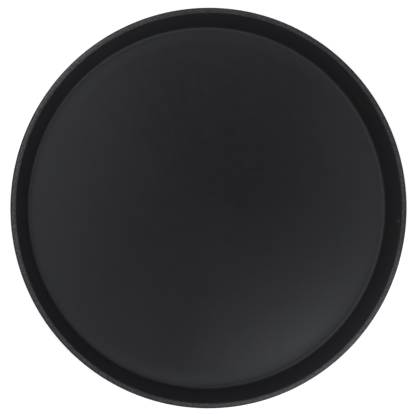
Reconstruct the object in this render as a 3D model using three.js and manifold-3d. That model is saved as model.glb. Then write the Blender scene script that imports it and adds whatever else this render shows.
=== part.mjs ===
// A round non-slip serving tray: a moulded plastic shell with a flared wall and a beaded rim, a rubber
// liner bonded inside it from the floor to the rim, and a steel wire hoop moulded into the rim bead.
// Millimetres, +Z up. The tray stands on z = 0 and its centre line is the Z axis.
import * as THREE from "three";
import { mergeVertices } from "three/addons/utils/BufferGeometryUtils.js";
import Module from "manifold-3d";

const wasm = await Module();
wasm.setup();

// Overall size
const RIM_RADIUS = 177.8; // 14 in across
const HEIGHT = 25.4; // 1 in from the foot ring to the top of the rim
const RIM_INNER_RADIUS = 173.1; // where the rubber wall gives way to the plastic rim
const WALL_FOOT_SLOPE = THREE.MathUtils.degToRad(67); // from the horizontal; the wall flares as it rises
const WALL_TOP_SLOPE = THREE.MathUtils.degToRad(55);

// Thicknesses, from the ground up
const FOOT_HEIGHT = 0.9;
const SHELL_THICKNESS = 2.2;
const BOND_GAP = 0.3; // the glue line between shell and liner
const LINER_THICKNESS = 1;
const FLOOR_TOP = FOOT_HEIGHT + SHELL_THICKNESS + BOND_GAP + LINER_THICKNESS;

// Depths below the liner's upper surface, square to it
const SHELL_FACE = LINER_THICKNESS + BOND_GAP;
const SHELL_BACK = SHELL_FACE + SHELL_THICKNESS;

// Rounded corners
const WELL_FILLET = 5; // between floor and wall, on the liner
const SHOULDER_FILLET = 0.8; // from the wall over onto the rim
const BEAD_TOP_FILLET = 2.2;
const BEAD_FOOT_FILLET = 1.8;
const BEAD_FOOT = HEIGHT - 6.2; // the underside of the rim's bead

// Steel hoop in the bead, and the windows left by the pins that hold it in the mould
const WIRE_RADIUS = 1;
const WIRE_CLEARANCE = 0.3;
const WIRE_RING_RADIUS = RIM_RADIUS - 2.3;
const WIRE_HEIGHT = HEIGHT - 4;
const WINDOWS = 16;
const WINDOW_LENGTH = 3;
const WINDOW_WIDTH = 1.2;
const WINDOW_OVERRUN = 1; // how far below the bead the cut starts

// Stacking lugs under the bead: they land on the rim of the tray below, so that the walls don't wedge
const LUGS = 8;
const LUG_WIDTH = 7;
const LUG_RADIUS = RIM_RADIUS - 1.8;
const LUG_ROOT = 0.5; // how far a lug runs up into the bead
const STACK_PITCH = 10;

// Underside
const FOOT_INNER_RADIUS = 151;
const FOOT_OUTER_RADIUS = 156;
const FOOT_DRAFT = 0.6;
const GATE_RECESS_RADIUS = 25;
const GATE_RECESS_DEPTH = 0.5;
const GATE_RADIUS = 3;
const GATE_HEIGHT = 0.35;
const STEP_DRAFT = 0.3;

// Facets
const TURN_STEPS = 72;
const ARC_STEPS = 4;
const WIRE_STEPS = 8;

const point = (r, z) => new THREE.Vector2(r, z);

// Points round an arc, with both ends, from one angle to another in radians.
function arc(centre, radius, from, to, steps = ARC_STEPS) {
  return Array.from({ length: steps + 1 }, (_, i) => {
    const angle = from + ((to - from) * i) / steps;
    return point(centre.x + radius * Math.cos(angle), centre.y + radius * Math.sin(angle));
  });
}

// The unit vector square to a slope, from the tray's inner side out through the wall.
const outward = (slope) => point(Math.sin(slope), -Math.cos(slope));

// The angle of that vector, for arcs that are centred on the tray's inner side.
const outwardAngle = (slope) => slope - Math.PI / 2;

const SHOULDER_HEIGHT = HEIGHT - SHOULDER_FILLET * (1 - Math.cos(WALL_TOP_SLOPE));

// The wall is an arc about a centre outside the tray, and the corner below it is one about a centre
// inside. They touch at the wall's foot, and the wall ends at the shoulder.
const WALL_CURVE =
  (SHOULDER_HEIGHT - FLOOR_TOP - WELL_FILLET * (1 - Math.cos(WALL_FOOT_SLOPE))) /
  (Math.cos(WALL_TOP_SLOPE) - Math.cos(WALL_FOOT_SLOPE));
const wallTop = point(RIM_INNER_RADIUS, SHOULDER_HEIGHT);
const wallCentre = wallTop.clone().addScaledVector(outward(WALL_TOP_SLOPE), WALL_CURVE);
const wellCentre = wallCentre.clone().addScaledVector(outward(WALL_FOOT_SLOPE), -WALL_CURVE - WELL_FILLET);

// How much slope the glue line takes up along the wall, at the liner's top edge.
const LINER_END_SLOPE = WALL_TOP_SLOPE + BOND_GAP / WALL_CURVE;

// The section of a surface at a depth behind the liner's, from the floor's edge up the wall to a slope.
function dishSection(depth, endSlope) {
  const foot = outwardAngle(WALL_FOOT_SLOPE);
  const corner = arc(wellCentre, WELL_FILLET + depth, outwardAngle(0), foot);
  const wall = arc(wallCentre, WALL_CURVE - depth, foot + Math.PI, outwardAngle(endSlope) + Math.PI);
  return [...corner, ...wall.slice(1)];
}

// The radius of such a surface at a height on the wall.
function wallRadius(z, depth) {
  return wallCentre.x - Math.sqrt((WALL_CURVE - depth) ** 2 - (z - wallCentre.y) ** 2);
}

// The slope of such a surface at a height on the wall.
function wallSlope(z, depth) {
  return Math.acos((z - wallCentre.y) / (WALL_CURVE - depth));
}

// A closed solid turned about the Z axis from a profile of radius and height.
function turned(profile) {
  return new THREE.LatheGeometry(profile, TURN_STEPS).rotateX(Math.PI / 2);
}

function solidOf(geometry) {
  const bare = geometry.clone();
  bare.deleteAttribute("normal");
  bare.deleteAttribute("uv");
  const merged = mergeVertices(bare, 1e-3);
  return new wasm.Manifold(
    new wasm.Mesh({
      numProp: 3,
      vertProperties: merged.getAttribute("position").array,
      triVerts: new Uint32Array(merged.index.array),
    }),
  );
}

function geometryOf(solid) {
  const mesh = solid.getMesh();
  const geometry = new THREE.BufferGeometry()
    .setAttribute("position", new THREE.BufferAttribute(mesh.vertProperties, 3))
    .setIndex(new THREE.BufferAttribute(mesh.triVerts, 1));
  geometry.computeVertexNormals();
  return geometry;
}

// The shell's section, from the middle of the underside out and over the rim to the middle of its floor.
function shellProfile() {
  const recessTop = FOOT_HEIGHT + GATE_RECESS_DEPTH;
  const gateBottom = recessTop - GATE_HEIGHT;
  const underside = [
    point(0, gateBottom),
    point(GATE_RADIUS, gateBottom),
    point(GATE_RADIUS + STEP_DRAFT, recessTop),
    point(GATE_RECESS_RADIUS - STEP_DRAFT, recessTop),
    point(GATE_RECESS_RADIUS, FOOT_HEIGHT),
    point(FOOT_INNER_RADIUS - FOOT_DRAFT, FOOT_HEIGHT),
    point(FOOT_INNER_RADIUS, 0),
    point(FOOT_OUTER_RADIUS, 0),
    point(FOOT_OUTER_RADIUS + FOOT_DRAFT, FOOT_HEIGHT),
  ];

  const footCentre = point(RIM_RADIUS - BEAD_FOOT_FILLET, BEAD_FOOT + BEAD_FOOT_FILLET);
  const topCentre = point(RIM_RADIUS - BEAD_TOP_FILLET, HEIGHT - BEAD_TOP_FILLET);
  const shoulderCentre = wallTop.clone().addScaledVector(outward(WALL_TOP_SLOPE), SHOULDER_FILLET);
  const bead = [
    ...arc(footCentre, BEAD_FOOT_FILLET, outwardAngle(0), 0),
    ...arc(topCentre, BEAD_TOP_FILLET, 0, Math.PI / 2),
    ...arc(shoulderCentre, SHOULDER_FILLET, Math.PI / 2, outwardAngle(WALL_TOP_SLOPE) + Math.PI),
  ];

  const outside = dishSection(SHELL_BACK, wallSlope(BEAD_FOOT, SHELL_BACK));
  const inside = dishSection(SHELL_FACE, WALL_TOP_SLOPE).reverse();
  return [...underside, ...outside, ...bead, ...inside, point(0, FLOOR_TOP - SHELL_FACE)];
}

// A ring of round section about the wire's line.
function hoopRing(radius) {
  const round = arc(point(WIRE_RING_RADIUS, WIRE_HEIGHT), radius, 0, 2 * Math.PI, WIRE_STEPS);
  round[WIRE_STEPS].copy(round[0]);
  return turned(round);
}

// One lug, as a block whose inner side lies in the middle of the wall.
function lug(angle) {
  const inWall = SHELL_FACE + SHELL_THICKNESS / 2;
  const low = HEIGHT - STACK_PITCH;
  const high = BEAD_FOOT + LUG_ROOT;
  const side = new THREE.Shape([
    point(wallRadius(low, inWall), low),
    point(LUG_RADIUS, low),
    point(LUG_RADIUS, high),
    point(wallRadius(high, inWall), high),
  ]);
  return new THREE.ExtrudeGeometry(side, { depth: LUG_WIDTH, bevelEnabled: false })
    .translate(0, 0, -LUG_WIDTH / 2)
    .rotateX(Math.PI / 2)
    .rotateZ(angle);
}

// The space one mould pin leaves, from below the bead up to the wire.
function pinWindow(angle) {
  const low = BEAD_FOOT - WINDOW_OVERRUN;
  return new THREE.BoxGeometry(WINDOW_WIDTH, WINDOW_LENGTH, WIRE_HEIGHT - low)
    .translate(WIRE_RING_RADIUS, 0, (WIRE_HEIGHT + low) / 2)
    .rotateZ(angle);
}

function shellGeometry() {
  let shell = solidOf(turned(shellProfile()));
  for (let i = 0; i < LUGS; i++) {
    shell = shell.add(solidOf(lug((2 * Math.PI * i) / LUGS)));
  }
  shell = shell.subtract(solidOf(hoopRing(WIRE_RADIUS + WIRE_CLEARANCE)));
  for (let i = 0; i < WINDOWS; i++) {
    shell = shell.subtract(solidOf(pinWindow((2 * Math.PI * (i + 0.5)) / WINDOWS)));
  }
  return geometryOf(shell);
}

function linerGeometry() {
  return turned([
    point(0, FLOOR_TOP - LINER_THICKNESS),
    ...dishSection(LINER_THICKNESS, LINER_END_SLOPE),
    ...dishSection(0, LINER_END_SLOPE).reverse(),
    point(0, FLOOR_TOP),
  ]);
}

const satinPlastic = new THREE.MeshStandardMaterial({ color: 0x2a2b2d, roughness: 0.42, metalness: 0 });
const mattRubber = new THREE.MeshStandardMaterial({ color: 0x202022, roughness: 0.62, metalness: 0 });
const galvanisedSteel = new THREE.MeshStandardMaterial({ color: 0xa8abad, roughness: 0.35, metalness: 1 });

function piece(name, geometry, material) {
  const mesh = new THREE.Mesh(geometry, material);
  mesh.name = name;
  return mesh;
}

const tray = new THREE.Group();
tray.add(
  piece("tray_shell", shellGeometry(), satinPlastic),
  piece("rubber_liner", linerGeometry(), mattRubber),
  piece("rim_hoop", hoopRing(WIRE_RADIUS), galvanisedSteel),
);

export default tray;
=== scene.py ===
"""A round rubber-lined serving tray, seen almost straight from above in a pale studio.

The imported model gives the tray's outer sizes. The shell, the liner and the wire hoop are made again as fine
turned meshes, with the lugs and mould windows worked into the shell. Lengths are in metres.
"""

import math

import bmesh
import bpy
from mathutils import Matrix, Vector, noise


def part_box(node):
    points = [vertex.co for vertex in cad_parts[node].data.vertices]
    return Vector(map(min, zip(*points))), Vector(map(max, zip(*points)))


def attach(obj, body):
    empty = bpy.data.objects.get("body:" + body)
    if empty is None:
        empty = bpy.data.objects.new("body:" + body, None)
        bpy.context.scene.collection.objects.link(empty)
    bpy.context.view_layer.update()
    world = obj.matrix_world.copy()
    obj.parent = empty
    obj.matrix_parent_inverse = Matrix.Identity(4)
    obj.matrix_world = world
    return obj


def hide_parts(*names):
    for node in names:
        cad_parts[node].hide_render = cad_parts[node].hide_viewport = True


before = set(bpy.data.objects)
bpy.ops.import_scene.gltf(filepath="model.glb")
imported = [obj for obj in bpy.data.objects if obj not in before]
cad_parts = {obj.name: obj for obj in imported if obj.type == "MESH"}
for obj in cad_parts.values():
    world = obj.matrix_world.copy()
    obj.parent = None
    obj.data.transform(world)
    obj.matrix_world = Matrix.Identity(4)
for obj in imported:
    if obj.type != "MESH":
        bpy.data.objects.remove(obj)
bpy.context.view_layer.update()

MM = 0.001

# Sizes read from the frame
shell_low, shell_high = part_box("tray_shell")
liner_low, liner_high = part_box("rubber_liner")
hoop_low, hoop_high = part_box("rim_hoop")
RIM_RADIUS = shell_high.x
HEIGHT = shell_high.z
LINER_BOTTOM = liner_low.z
WIRE_RADIUS = (hoop_high.z - hoop_low.z) / 2
WIRE_HEIGHT = (hoop_high.z + hoop_low.z) / 2
WIRE_RING_RADIUS = hoop_high.x - WIRE_RADIUS

# The dish, as in the CAD: an arc for the wall, and one for the corner below it
RIM_INNER_RADIUS = RIM_RADIUS - 4.7 * MM
WALL_FOOT_SLOPE = math.radians(67)
WALL_TOP_SLOPE = math.radians(55)
LINER_THICKNESS = 1 * MM
BOND_GAP = 0.3 * MM
SHELL_THICKNESS = 2.2 * MM
FLOOR_TOP = LINER_BOTTOM + LINER_THICKNESS
SHELL_FACE = LINER_THICKNESS + BOND_GAP
SHELL_BACK = SHELL_FACE + SHELL_THICKNESS
WELL_FILLET = 5 * MM
SHOULDER_FILLET = 0.8 * MM

# The rim's bead
BEAD_TOP_FILLET = 2.2 * MM
BEAD_FOOT_FILLET = 1.8 * MM
BEAD_FOOT = HEIGHT - 6.2 * MM
BEAD_ROOT_FILLET = 0.6 * MM

# Lugs and mould-pin windows, evenly spaced round the tray
LUGS = 8
LUG_HALF_ANGLE = 3.5 * MM / RIM_RADIUS
LUG_BLEND_ANGLE = 0.9 * MM / RIM_RADIUS
LUG_RADIUS = RIM_RADIUS - 1.8 * MM
LUG_BOTTOM = HEIGHT - 10 * MM
LUG_FILLET = 0.7 * MM
LUG_DRAFT = 0.25 * MM
LUG_HEAD_GAP = 0.02 * MM
WINDOWS = 16
WINDOW_HALF_ANGLE = 1.5 * MM / RIM_RADIUS
WINDOW_BLEND_ANGLE = 0.12 * MM / RIM_RADIUS
WINDOW_HALF_WIDTH = 0.6 * MM

# The underside
FOOT_HEIGHT = 0.9 * MM
FOOT_INNER_RADIUS = 151 * MM
FOOT_OUTER_RADIUS = 156 * MM
FOOT_DRAFT = 0.6 * MM
FOOT_FILLET = 0.35 * MM
GATE_RECESS_RADIUS = 25 * MM
GATE_RECESS_DEPTH = 0.5 * MM
GATE_RADIUS = 3 * MM
GATE_HEIGHT = 0.35 * MM
STEP_DRAFT = 0.3 * MM
STEP_FILLET = 0.12 * MM

# The visible liner
GLUE_LINE = 0.08 * MM
LINER_LIP_FILLET = 0.25 * MM
LINER_WAVE_HEIGHT = 0.1 * MM
LINER_WAVES_PER_METRE = 14
LINER_WAVE_FADE = 20 * MM

# The rubber. A texture's scale is how many of its features lie along a metre. Use has polished the liner's
# floor, and its corner and wall have kept more of their first roughness.
RUBBER_DARK = (0.0076, 0.0076, 0.0079, 1)
RUBBER_PALE = (0.0104, 0.0104, 0.0107, 1)
BLOOM_SCALE = 9
MOTTLE_SCALE = 160
MOTTLE_ROUGHNESS = 0.008
POLISHED_RADIUS = 148 * MM
ROUGH_RADIUS = 166 * MM
POLISHED = (0.32, 0.35)
UNWORN_GAIN = 0.2
PEBBLE_SCALE = 820
PEBBLE_STRENGTH = 0.18
PEBBLE_HEIGHT = 0.12 * MM
PORE_SCALE = 2600
PORE_STRENGTH = 0.12
PORE_HEIGHT = 0.05 * MM

# The plastic. Its pale specks run from 0 to 1 on the rim and vary less, staying darker, below it. This is
# painted light that makes the top paler, laid over the real grain.
PLASTIC_DARK = (0.006, 0.006, 0.0063, 1)
PLASTIC_PALE = (0.056, 0.056, 0.0585, 1)
HANDLING_SCALE = 30
HANDLING_TONE = 0.2
HANDLING_ROUGHNESS = (0.4, 0.46)
GRAIN_SCALE = 480
GRAIN_ROUGHNESS = 0.65
GRAIN_EDGES = (0.4, 0.6)
GRAIN_STRENGTH = 0.5
GRAIN_HEIGHT = 0.2 * MM
SPECK_TONE = 0.8
SPECK_POLISH = -0.12
# The specks' range below the rim, kept dim there as painted shade under the painted light of the top
DIM_SPECKS_BELOW_PAINTED_LIGHT = (0.25, 0.4)

# The hoop's steel
ZINC_DARK = (0.36, 0.37, 0.38, 1)
ZINC_PALE = (0.5, 0.51, 0.52, 1)
ZINC_ROUGHNESS = (0.3, 0.45)
SPANGLE_SCALE = 700

# How soft the cell textures are, and the values that a noise is taken to run between
CELL_SMOOTHNESS = 0.6
NOISE_RANGE = (0.3, 0.7)

# A small pale scuff on the upper part of the liner's wall
SCUFF_ANGLE = math.radians(-3.9)
SCUFF_RING_RADIUS = 171 * MM
SCUFF_REACH = 2.2 * MM
SCUFF_COLOUR = (0.06, 0.06, 0.062, 1)
SCUFF_SCALE = 1100
SCUFF_THINNEST = 0.35

# Fineness
BASE_TURN_STEPS = 240
LUG_BLEND_STEPS = 5
WINDOW_BLEND_STEPS = 1
LEAST_TURN_STEP = 0.15 * MM / RIM_RADIUS
ARC_STEPS = 9
EDGE_STEPS = 4
ROOT_STEPS = 5
LIP_STEPS = 5
SHOULDER_STEPS = 6
BEAD_TOP_STEPS = 12
WALL_HEAD_STEPS = 12
LUG_PATH_STEPS = 26
WIRE_STEPS = 20
FLOOR_RINGS = 22
WELD_DISTANCE = 0.002 * MM
SHARP_EDGE = math.radians(32)

# Camera: how far from the tray, how far off its axis, and towards which side
VIEW_DISTANCE = 1.3
VIEW_TILT = math.radians(8.5)
VIEW_SIDE = math.radians(174)
FRAME_FILL = 0.9635
AIM_SHIFT = 4 * MM  # towards the near side, which looks larger than the far one
SENSOR_WIDTH = 36

# The studio: a ring of soft round lights and one overhead, in a dark room whose walls look white to the
# camera. Two lights of the ring, across the tray from each other, are stronger than the rest.
LIGHT_SIZE = 0.8  # of a light's distance
LIGHT_COLOUR = (0.92, 0.94, 1)
RING_LIGHTS = 6
RING_ELEVATION = math.radians(42)
RING_DISTANCE = 0.5
STRONG_SIDE = math.radians(310)
STRONG_POWER = 0.85
WEAK_POWER = 0.3
OVERHEAD_SIDE = math.radians(180)
OVERHEAD_ELEVATION = math.radians(68)
OVERHEAD_DISTANCE = 1.2
OVERHEAD_POWER = 2
WHITE_WORLD = 1.1
TABLE_HALF_WIDTH = 20
TABLE_GREY = 0.5
TABLE_ROUGHNESS = 0.9
TABLE_GLOW_NEAR = 0.8
TABLE_GLOW_FAR = 1.1
TABLE_GLOW_START = 0.25
TABLE_GLOW_END = 1.2


def point(r, z):
    return Vector((r, z))


def outward(slope):
    """The unit vector square to a slope, from the tray's inner side out through the wall."""
    return point(math.sin(slope), -math.cos(slope))


def arc(centre, radius, start, end, steps=ARC_STEPS):
    """Points round an arc, both ends included, from one angle to another."""
    angles = [start + (end - start) * i / steps for i in range(steps + 1)]
    return [centre + radius * point(math.cos(a), math.sin(a)) for a in angles]


def rounded(corner, before, after, radius, steps=EDGE_STEPS):
    """The corner of an outline, rounded between the points before and after it."""
    to_before = (before - corner).normalized()
    to_after = (after - corner).normalized()
    half = to_before.angle(to_after) / 2
    reach = radius / math.tan(half)
    centre = corner + (to_before + to_after).normalized() * radius / math.sin(half)
    first = corner + to_before * reach - centre
    last = corner + to_after * reach - centre
    turn = math.atan2(first.x * last.y - first.y * last.x, first.dot(last))
    start = math.atan2(first.y, first.x)
    return arc(centre, radius, start, start + turn, steps)


def outline(corners):
    """Points along straight lines, with each corner given as (point, fillet radius)."""
    points = []
    for i, (corner, radius) in enumerate(corners):
        if radius:
            points += rounded(corner, corners[i - 1][0], corners[i + 1][0], radius)
        else:
            points.append(corner)
    return points


# The wall's arc ends at the shoulder of the rim; the corner's arc touches the wall's foot and the floor.
SHOULDER_HEIGHT = HEIGHT - SHOULDER_FILLET * (1 - math.cos(WALL_TOP_SLOPE))
WALL_CURVE = (
    SHOULDER_HEIGHT - FLOOR_TOP - WELL_FILLET * (1 - math.cos(WALL_FOOT_SLOPE))
) / (math.cos(WALL_TOP_SLOPE) - math.cos(WALL_FOOT_SLOPE))
wall_top = point(RIM_INNER_RADIUS, SHOULDER_HEIGHT)
wall_centre = wall_top + outward(WALL_TOP_SLOPE) * WALL_CURVE
well_centre = wall_centre - outward(WALL_FOOT_SLOPE) * (WALL_CURVE + WELL_FILLET)


def wall_radius(z, depth):
    """The radius, at a height, of the surface so deep behind the liner's."""
    return wall_centre.x - math.sqrt((WALL_CURVE - depth) ** 2 - (z - wall_centre.y) ** 2)


def wall_slope(z, depth):
    return math.acos((z - wall_centre.y) / (WALL_CURVE - depth))


def dish_section(depth, end_slope):
    """A surface so deep behind the liner's, from the floor's edge up the wall to a slope."""
    foot = WALL_FOOT_SLOPE - math.pi / 2
    corner = arc(well_centre, WELL_FILLET + depth, -math.pi / 2, foot)
    wall = arc(wall_centre, WALL_CURVE - depth, foot + math.pi, end_slope + math.pi / 2)
    return corner + wall[1:]


def smooth_step(x):
    x = min(max(x, 0), 1)
    return x * x * (3 - 2 * x)


def angle_from_nearest(angle, count, offset=0.0):
    """How far an angle is from the nearest of count even places round the circle."""
    pitch = 2 * math.pi / count
    return abs((angle - offset + pitch / 2) % pitch - pitch / 2)


def lug_share(angle):
    """1 in the middle of a lug and 0 between lugs."""
    inside = LUG_HALF_ANGLE - angle_from_nearest(angle, LUGS)
    return smooth_step(inside / LUG_BLEND_ANGLE)


def window_share(angle):
    """1 inside a window and 0 elsewhere."""
    inside = WINDOW_HALF_ANGLE - angle_from_nearest(angle, WINDOWS, math.pi / WINDOWS)
    return smooth_step(inside / WINDOW_BLEND_ANGLE)


def turn_angles(with_details):
    """Angles round the tray, closer together at the sides of the lugs and windows."""
    angles = {2 * math.pi * i / BASE_TURN_STEPS for i in range(BASE_TURN_STEPS)}
    if not with_details:
        return sorted(angles)
    sides = [
        (LUGS, 0, LUG_HALF_ANGLE, LUG_BLEND_ANGLE, LUG_BLEND_STEPS),
        (WINDOWS, math.pi / WINDOWS, WINDOW_HALF_ANGLE, WINDOW_BLEND_ANGLE, WINDOW_BLEND_STEPS),
    ]
    fine = set()
    for count, offset, half, blend, steps in sides:
        for i in range(count):
            middle = offset + 2 * math.pi * i / count
            for j in range(steps + 1):
                reach = half - blend * j / steps
                fine |= {(middle - reach) % (2 * math.pi), (middle + reach) % (2 * math.pi)}
    return sorted(fine | {a for a in angles if all(abs(a - b) > LEAST_TURN_STEP for b in fine)})


def underside_outline():
    """From the middle of the underside out over the foot ring."""
    recess_top = FOOT_HEIGHT + GATE_RECESS_DEPTH
    gate_bottom = recess_top - GATE_HEIGHT
    return outline([
        (point(0, gate_bottom), 0),
        (point(GATE_RADIUS, gate_bottom), STEP_FILLET),
        (point(GATE_RADIUS + STEP_DRAFT, recess_top), STEP_FILLET),
        (point(GATE_RECESS_RADIUS - STEP_DRAFT, recess_top), STEP_FILLET),
        (point(GATE_RECESS_RADIUS, FOOT_HEIGHT), STEP_FILLET),
        (point(FOOT_INNER_RADIUS - FOOT_DRAFT, FOOT_HEIGHT), STEP_FILLET),
        (point(FOOT_INNER_RADIUS, 0), FOOT_FILLET),
        (point(FOOT_OUTER_RADIUS, 0), FOOT_FILLET),
        (point(FOOT_OUTER_RADIUS + FOOT_DRAFT, FOOT_HEIGHT), STEP_FILLET),
        (point(well_centre.x, FOOT_HEIGHT), 0),
    ])


def evenly_along(points, count):
    """That many points spaced evenly along a path, both ends included."""
    lengths = [0]
    for a, b in zip(points, points[1:]):
        lengths.append(lengths[-1] + (b - a).length)
    result = []
    i = 0
    for j in range(count):
        wanted = lengths[-1] * j / (count - 1)
        while i < len(points) - 2 and lengths[i + 1] < wanted:
            i += 1
        span = lengths[i + 1] - lengths[i]
        result.append(points[i].lerp(points[i + 1], (wanted - lengths[i]) / span))
    return result


lug_in_wall = point(wall_radius(LUG_BOTTOM, SHELL_BACK), LUG_BOTTOM)
bead_root = point(wall_radius(BEAD_FOOT, SHELL_BACK), BEAD_FOOT)
bead_foot_start = point(RIM_RADIUS - BEAD_FOOT_FILLET, BEAD_FOOT)
window_inner = point(WIRE_RING_RADIUS - WINDOW_HALF_WIDTH, BEAD_FOOT)
window_outer = point(WIRE_RING_RADIUS + WINDOW_HALF_WIDTH, BEAD_FOOT)


def plain_wall_path():
    """Between lugs: up the last of the wall, and out under the bead to where the windows start."""
    start = wall_slope(LUG_BOTTOM, SHELL_BACK) + math.pi / 2
    end = wall_slope(BEAD_FOOT, SHELL_BACK) + math.pi / 2
    wall = arc(wall_centre, WALL_CURVE - SHELL_BACK, start, end, WALL_HEAD_STEPS)
    corner = rounded(bead_root, wall[-3], window_inner, BEAD_ROOT_FILLET, ROOT_STEPS)
    return evenly_along(wall[:-1] + corner + [window_inner], LUG_PATH_STEPS)


def lug_path():
    """Over a lug: out along its bottom, up its face, and back to where the windows start."""
    foot = point(LUG_RADIUS - LUG_DRAFT, LUG_BOTTOM)
    head = point(LUG_RADIUS, BEAD_FOOT - LUG_HEAD_GAP)
    path = outline([(lug_in_wall, 0), (foot, LUG_FILLET), (head, 0)])
    return evenly_along(path, LUG_PATH_STEPS)


UNDERSIDE = underside_outline()
PLAIN_PATH = plain_wall_path()
LUG_PATH = lug_path()


def under_bead(angle):
    """The stretch that the lugs and the windows change, from the foot of a lug to the bead's fillet."""
    lug = lug_share(angle)
    window = window_share(angle)
    path = [plain.lerp(raised, lug) for plain, raised in zip(PLAIN_PATH, LUG_PATH)]
    ceiling = BEAD_FOOT + (WIRE_HEIGHT - BEAD_FOOT) * window
    pocket = [point(window_inner.x, ceiling), point(window_outer.x, ceiling), window_outer]
    flat = [p.lerp(bead_foot_start, lug) for p in [window_inner] + pocket]
    return path + flat[1:] if lug < 1 else path + [bead_foot_start] * (len(flat) - 1)


def shell_section(angle):
    """The shell's whole section at an angle, from the middle of its underside to that of its floor."""
    outside = dish_section(SHELL_BACK, wall_slope(LUG_BOTTOM, SHELL_BACK))[1:-1]
    foot_centre = bead_foot_start + point(0, BEAD_FOOT_FILLET)
    top_centre = point(RIM_RADIUS - BEAD_TOP_FILLET, HEIGHT - BEAD_TOP_FILLET)
    shoulder_centre = wall_top + outward(WALL_TOP_SLOPE) * SHOULDER_FILLET
    bead = arc(foot_centre, BEAD_FOOT_FILLET, -math.pi / 2, 0)
    bead += arc(top_centre, BEAD_TOP_FILLET, 0, math.pi / 2, BEAD_TOP_STEPS)
    bead += arc(shoulder_centre, SHOULDER_FILLET, math.pi / 2, WALL_TOP_SLOPE + math.pi / 2, SHOULDER_STEPS)
    inside = dish_section(SHELL_FACE, WALL_TOP_SLOPE)[::-1]
    floor = [point(0, FLOOR_TOP - SHELL_FACE)]
    return UNDERSIDE + outside + under_bead(angle) + bead + inside + floor


def liner_section():
    """The liner from the middle of its back, round its lip, and over its face to the middle again."""
    end_slope = WALL_TOP_SLOPE + GLUE_LINE / WALL_CURVE
    back = dish_section(LINER_THICKNESS, end_slope)
    face = dish_section(0, end_slope)
    lip = rounded(face[-1], back[-1], face[-2], LINER_LIP_FILLET, LIP_STEPS)
    floor = [point(well_centre.x * (1 - i / FLOOR_RINGS), FLOOR_TOP) for i in range(1, FLOOR_RINGS + 1)]
    return [point(0, LINER_BOTTOM)] + back + lip + face[-2::-1] + floor


def wire_section():
    return arc(point(WIRE_RING_RADIUS, WIRE_HEIGHT), WIRE_RADIUS, 0, 2 * math.pi, WIRE_STEPS)[:-1]


def weld(mesh):
    """Joins points that coincide, and so takes away the faces of no area between them."""
    shape = bmesh.new()
    shape.from_mesh(mesh)
    bmesh.ops.remove_doubles(shape, verts=shape.verts, dist=WELD_DISTANCE)
    shape.to_mesh(mesh)
    shape.free()


def turned(name, angles, section_at, material):
    """A closed mesh of sections round the Z axis. A section starts and ends on the axis, or is a loop."""
    sections = [section_at(a) for a in angles]
    on_axis = sections[0][0].x == 0
    rings = [s[1:-1] if on_axis else s for s in sections]
    count = len(rings[0])
    starts = [(i * count, (i + 1) % len(angles) * count) for i in range(len(angles))]
    vertices = [
        (p.x * math.cos(a), p.x * math.sin(a), p.y) for a, ring in zip(angles, rings) for p in ring
    ]
    faces = []
    for this, following in starts:
        for j in range(count - 1 if on_axis else count):
            k = (j + 1) % count
            faces.append((this + j, following + j, following + k, this + k))
    if on_axis:
        bottom, top = len(vertices), len(vertices) + 1
        vertices += [(0, 0, sections[0][0].y), (0, 0, sections[0][-1].y)]
        for this, following in starts:
            faces.append((bottom, following, this))
            faces.append((top, this + count - 1, following + count - 1))
    return piece_of(name, vertices, faces, material)


def piece_of(name, vertices, faces, material):
    """A smooth-shaded object of its own, with its real edges kept sharp."""
    mesh = bpy.data.meshes.new(name)
    mesh.from_pydata(vertices, [], faces)
    weld(mesh)
    mesh.shade_smooth()
    mesh.set_sharp_from_angle(angle=SHARP_EDGE)
    mesh.materials.append(material)
    piece = bpy.data.objects.new(name, mesh)
    bpy.context.scene.collection.objects.link(piece)
    return piece


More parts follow.
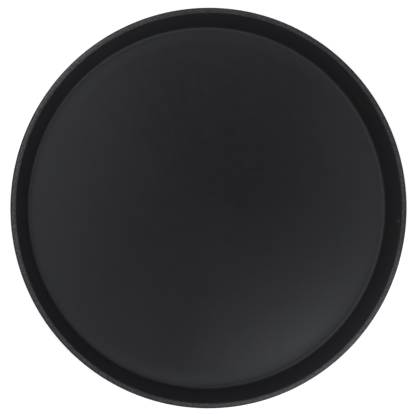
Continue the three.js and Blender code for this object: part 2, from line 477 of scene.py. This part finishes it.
class Shading:
    """A material whose nodes are added and joined a line at a time."""

    def __init__(self, name):
        self.material = bpy.data.materials.new(name)
        self.material.use_nodes = True
        self.tree = self.material.node_tree
        self.shader = self.tree.nodes["Principled BSDF"]
        self.place = self.add("ShaderNodeTexCoord").outputs["Object"]

    def add(self, kind, inputs=None, **settings):
        node = self.tree.nodes.new(kind)
        for key, value in settings.items():
            setattr(node, key, value)
        for key, value in (inputs or {}).items():
            self.put(node, key, value)
        return node

    def put(self, node, key, value):
        """Sets an input to a number or colour, or joins it to another node's output."""
        if isinstance(value, bpy.types.NodeSocket):
            self.tree.links.new(value, node.inputs[key])
        else:
            node.inputs[key].default_value = value

    def radius(self):
        """How far a place is from the tray's axis."""
        level = self.add("ShaderNodeVectorMath", {0: self.place, 1: (1, 1, 0)}, operation="MULTIPLY")
        return self.add("ShaderNodeVectorMath", {0: level.outputs[0]}, operation="LENGTH").outputs["Value"]

    def height(self):
        return self.add("ShaderNodeSeparateXYZ", {"Vector": self.place}).outputs["Z"]

    def noise(self, scale, detail=2.0, roughness=0.5):
        inputs = {"Vector": self.place, "Scale": scale, "Detail": detail, "Roughness": roughness}
        return self.add("ShaderNodeTexNoise", inputs).outputs["Fac"]

    def cells(self, scale):
        inputs = {"Vector": self.place, "Scale": scale, "Smoothness": CELL_SMOOTHNESS}
        return self.add("ShaderNodeTexVoronoi", inputs, feature="SMOOTH_F1").outputs["Distance"]

    def range(self, value, low, high, start=NOISE_RANGE[0], end=NOISE_RANGE[1]):
        """Turns a value that runs from start to end into one that runs from low to high, and no further."""
        inputs = {"Value": value, "From Min": start, "From Max": end, "To Min": low, "To Max": high}
        return self.add("ShaderNodeMapRange", inputs).outputs["Result"]

    def sum(self, first, second):
        node = self.add("ShaderNodeMath", operation="ADD")
        self.put(node, 0, first)
        self.put(node, 1, second)
        return node.outputs[0]

    def times(self, first, second):
        node = self.add("ShaderNodeMath", operation="MULTIPLY")
        self.put(node, 0, first)
        self.put(node, 1, second)
        return node.outputs[0]

    def blend(self, share, first, second):
        node = self.add("ShaderNodeMix", data_type="RGBA")
        self.put(node, "Factor", share)
        self.put(node, 6, first)
        self.put(node, 7, second)
        return node.outputs[2]

    def bump(self, height, strength, distance, normal=None):
        inputs = {"Strength": strength, "Distance": distance, "Height": height}
        if normal:
            inputs["Normal"] = normal
        return self.add("ShaderNodeBump", inputs).outputs["Normal"]


def scuff_share(s):
    """1 in the middle of the scuff, broken up by fine noise, and 0 away from it."""
    height = wall_centre.y + math.sqrt(WALL_CURVE**2 - (wall_centre.x - SCUFF_RING_RADIUS) ** 2)
    across = Vector((math.cos(SCUFF_ANGLE), math.sin(SCUFF_ANGLE), 0)) * SCUFF_RING_RADIUS
    middle = across + Vector((0, 0, height))
    reach = s.add("ShaderNodeVectorMath", {0: s.place, 1: middle}, operation="DISTANCE").outputs["Value"]
    fading = s.range(reach, 1, 0, SCUFF_REACH / 4, SCUFF_REACH)
    return s.times(fading, s.range(s.noise(SCUFF_SCALE), SCUFF_THINNEST, 1))


def rubber():
    """Matt black rubber with a fine pebbled grain, a little unevenness in its bloom and one scuff."""
    s = Shading("liner_rubber")
    bloom = s.noise(BLOOM_SCALE, detail=3)
    mottle = s.noise(MOTTLE_SCALE, detail=3)
    colour = s.blend(s.range(mottle, 0, 1), RUBBER_DARK, RUBBER_PALE)
    s.put(s.shader, "Base Color", s.blend(scuff_share(s), colour, SCUFF_COLOUR))
    polish = s.sum(s.range(bloom, *POLISHED), s.range(mottle, -MOTTLE_ROUGHNESS, MOTTLE_ROUGHNESS))
    unworn = s.range(s.radius(), 0, UNWORN_GAIN, POLISHED_RADIUS, ROUGH_RADIUS)
    s.put(s.shader, "Roughness", s.sum(polish, unworn))
    pebbles = s.bump(s.cells(PEBBLE_SCALE), PEBBLE_STRENGTH, PEBBLE_HEIGHT)
    s.put(s.shader, "Normal", s.bump(s.noise(PORE_SCALE), PORE_STRENGTH, PORE_HEIGHT, pebbles))
    return s.material


def plastic():
    """Black moulded plastic with a fine irregular grain, clearest on the rim, whose top is made paler by
    painted light.
    """
    s = Shading("shell_plastic")
    patches = s.noise(HANDLING_SCALE, detail=4)
    grain = s.noise(GRAIN_SCALE, detail=4, roughness=GRAIN_ROUGHNESS)
    # Painted light: the specks grow paler from the bead's foot up to the rim's top, as if lit from above
    painted_top_light = s.range(s.height(), 0, 1, BEAD_FOOT, HEIGHT - BEAD_TOP_FILLET)
    faintest = s.range(painted_top_light, DIM_SPECKS_BELOW_PAINTED_LIGHT[0], 0, 0, 1)
    palest = s.range(painted_top_light, DIM_SPECKS_BELOW_PAINTED_LIGHT[1], 1, 0, 1)
    specks = s.range(grain, faintest, palest, *GRAIN_EDGES)
    tone = s.sum(s.range(patches, 0, HANDLING_TONE), s.times(specks, SPECK_TONE))
    s.put(s.shader, "Base Color", s.blend(tone, PLASTIC_DARK, PLASTIC_PALE))
    dullness = s.range(patches, *HANDLING_ROUGHNESS)
    s.put(s.shader, "Roughness", s.sum(dullness, s.times(specks, SPECK_POLISH)))
    s.put(s.shader, "Normal", s.bump(grain, GRAIN_STRENGTH, GRAIN_HEIGHT))
    return s.material


def steel():
    """Zinc-plated drawn wire."""
    s = Shading("hoop_steel")
    spangle = s.cells(SPANGLE_SCALE)
    s.put(s.shader, "Base Color", s.blend(s.range(spangle, 0, 1), ZINC_DARK, ZINC_PALE))
    s.put(s.shader, "Metallic", 1.0)
    s.put(s.shader, "Roughness", s.range(spangle, *ZINC_ROUGHNESS))
    return s.material


def table_top():
    """A pale table that meets the white world at the horizon, a little dimmer round the tray.

    Its glow is for the camera only: the tray's edge reflects the table without it, and stays dark.
    """
    s = Shading("pale_table")
    s.put(s.shader, "Base Color", (TABLE_GREY, TABLE_GREY, TABLE_GREY, 1))
    s.put(s.shader, "Roughness", TABLE_ROUGHNESS)
    s.put(s.shader, "Specular IOR Level", 0.0)
    s.put(s.shader, "Emission Color", (1, 1, 1, 1))
    from_tray = s.add("ShaderNodeVectorMath", {0: s.place}, operation="LENGTH").outputs["Value"]
    glow = s.range(from_tray, TABLE_GLOW_NEAR, TABLE_GLOW_FAR, TABLE_GLOW_START, TABLE_GLOW_END)
    seen = s.add("ShaderNodeLightPath").outputs["Is Camera Ray"]
    s.put(s.shader, "Emission Strength", s.times(glow, seen))
    return s.material


def studio_floor():
    half = TABLE_HALF_WIDTH
    corners = [(-half, -half, 0), (half, -half, 0), (half, half, 0), (-half, half, 0)]
    mesh = bpy.data.meshes.new("table")
    mesh.from_pydata(corners, [], [(0, 1, 2, 3)])
    mesh.materials.append(table_top())
    table = bpy.data.objects.new("table", mesh)
    bpy.context.scene.collection.objects.link(table)


def studio_world():
    """White to the camera, and dark to everything else, so that only the lights shape the tray."""
    world = bpy.data.worlds.new("studio")
    world.use_nodes = True
    tree = world.node_tree
    background = tree.nodes["Background"]
    background.inputs["Color"].default_value = (1, 1, 1, 1)
    rays = tree.nodes.new("ShaderNodeLightPath")
    level = tree.nodes.new("ShaderNodeMath")
    level.operation = "MULTIPLY"
    level.inputs[1].default_value = WHITE_WORLD
    tree.links.new(rays.outputs["Is Camera Ray"], level.inputs[0])
    tree.links.new(level.outputs[0], background.inputs["Strength"])
    bpy.context.scene.world = world


def place_light(name, azimuth, elevation, distance, power):
    """A round soft light that faces the tray and is itself out of sight."""
    data = bpy.data.lights.new(name, "AREA")
    data.shape = "DISK"
    data.size = LIGHT_SIZE * distance
    data.energy = power
    data.color = LIGHT_COLOUR
    light = bpy.data.objects.new(name, data)
    level = math.cos(elevation)
    direction = Vector((math.cos(azimuth) * level, math.sin(azimuth) * level, math.sin(elevation)))
    light.location = direction * distance
    light.rotation_euler = direction.to_track_quat("Z", "Y").to_euler()
    light.visible_camera = False
    bpy.context.scene.collection.objects.link(light)


def place_lights():
    """The ring, with a strong light first and another half-way round, and the overhead light."""
    for i in range(RING_LIGHTS):
        azimuth = STRONG_SIDE + 2 * math.pi * i / RING_LIGHTS
        power = STRONG_POWER if i % (RING_LIGHTS // 2) == 0 else WEAK_POWER
        place_light(f"ring_{i + 1}", azimuth, RING_ELEVATION, RING_DISTANCE, power)
    place_light("overhead", OVERHEAD_SIDE, OVERHEAD_ELEVATION, OVERHEAD_DISTANCE, OVERHEAD_POWER)


def place_camera():
    """Above the tray and a little to one side, with +Y at the top of the picture."""
    side = Vector((math.cos(VIEW_SIDE), math.sin(VIEW_SIDE), 0))
    back = side * math.sin(VIEW_TILT) + Vector((0, 0, math.cos(VIEW_TILT)))
    aim = Vector((0, 0, HEIGHT - BEAD_TOP_FILLET)) + side * AIM_SHIFT
    right = Vector((0, 1, 0)).cross(back).normalized()
    up = back.cross(right)
    data = bpy.data.cameras.new("camera")
    data.sensor_width = SENSOR_WIDTH
    data.lens = SENSOR_WIDTH * VIEW_DISTANCE * FRAME_FILL / (2 * RIM_RADIUS)
    camera = bpy.data.objects.new("camera", data)
    turn = Matrix((right, up, back)).transposed().to_4x4()
    camera.matrix_world = Matrix.Translation(aim + back * VIEW_DISTANCE) @ turn
    bpy.context.scene.collection.objects.link(camera)
    bpy.context.scene.camera = camera


def ripple(piece):
    """Gives the bonded liner the slight waviness of a glued sheet, on its face only."""
    for vertex in piece.data.vertices:
        co = vertex.co
        on_face = co.z > FLOOR_TOP - LINER_THICKNESS / 2
        if on_face and co.xy.length < well_centre.x:
            fade = smooth_step((well_centre.x - co.xy.length) / LINER_WAVE_FADE)
            co.z += LINER_WAVE_HEIGHT * fade * noise.noise(co * LINER_WAVES_PER_METRE)


shell = turned("shell_moulding", turn_angles(True), shell_section, plastic())
LINER = liner_section()
liner = turned("liner_sheet", turn_angles(False), lambda angle: LINER, rubber())
ripple(liner)
WIRE = wire_section()
hoop = turned("hoop_wire", turn_angles(False), lambda angle: WIRE, steel())

for piece, node, slot in (
    (shell, "tray_shell", "shell_plastic"),
    (liner, "rubber_liner", "liner_rubber"),
    (hoop, "rim_hoop", "hoop_steel"),
):
    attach(piece, "root")
    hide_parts(node)

studio_floor()
studio_world()
place_lights()
place_camera()
bpy.context.scene.view_settings.view_transform = "Standard"
